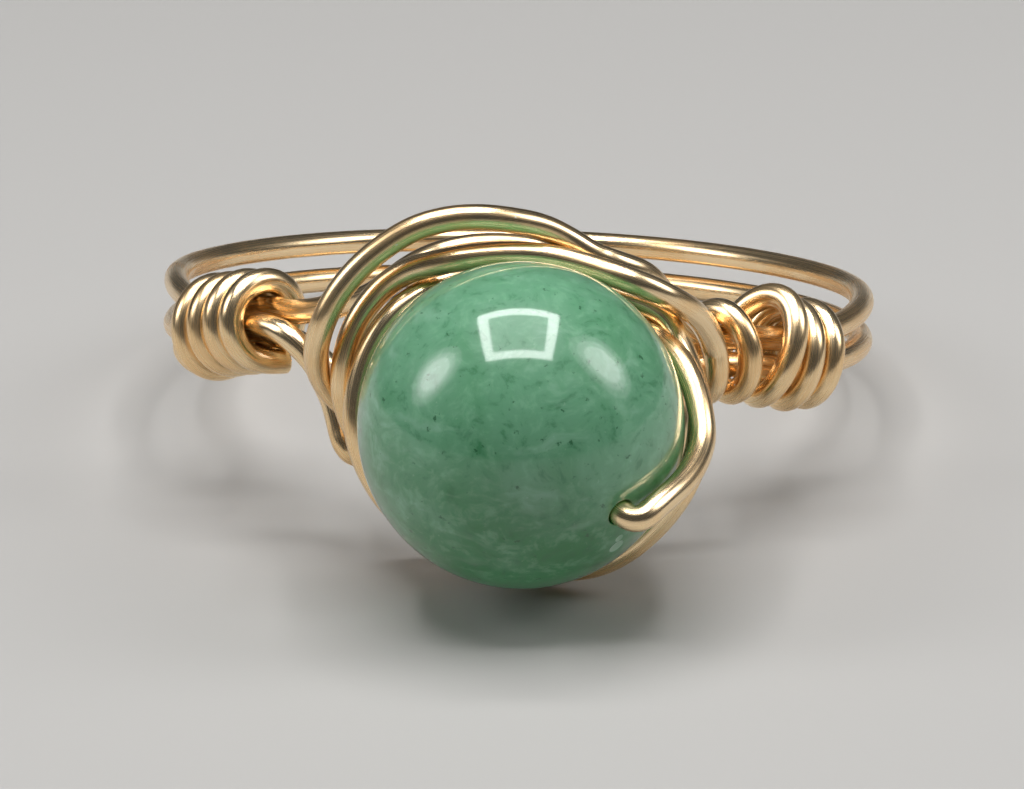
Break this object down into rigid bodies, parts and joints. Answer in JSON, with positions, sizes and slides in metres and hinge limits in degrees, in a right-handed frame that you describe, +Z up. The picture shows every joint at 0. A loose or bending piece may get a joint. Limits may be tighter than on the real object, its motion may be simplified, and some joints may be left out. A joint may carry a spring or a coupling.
{
  "type": "wire-wrapped bead ring",
  "caption": "Finger ring wound from round gold-coloured wire, with a polished round green stone bead held by turns of the wire and a coil on each shoulder.",
  "frame": {"origin": "middle of the footprint, on the surface that the ring lies on", "axes": "+Z up from that surface; -Y towards the bead, +Y towards the back of the band; +X to the right seen from the bead's side"},
  "size_m": [0.0186, 0.0258, 0.0095],
  "materials": {
    "jade": "polished",
    "gold_wire": "polished"
  },
  "bodies": {
    "root": {"jade_bead": "jade", "bead_wire": "gold_wire", "band_upper": "gold_wire", "band_lower": "gold_wire", "swirl_outer": "gold_wire", "swirl_front": "gold_wire", "left_wrap": "gold_wire", "right_wrap": "gold_wire"}
  },
  "joints": []
}
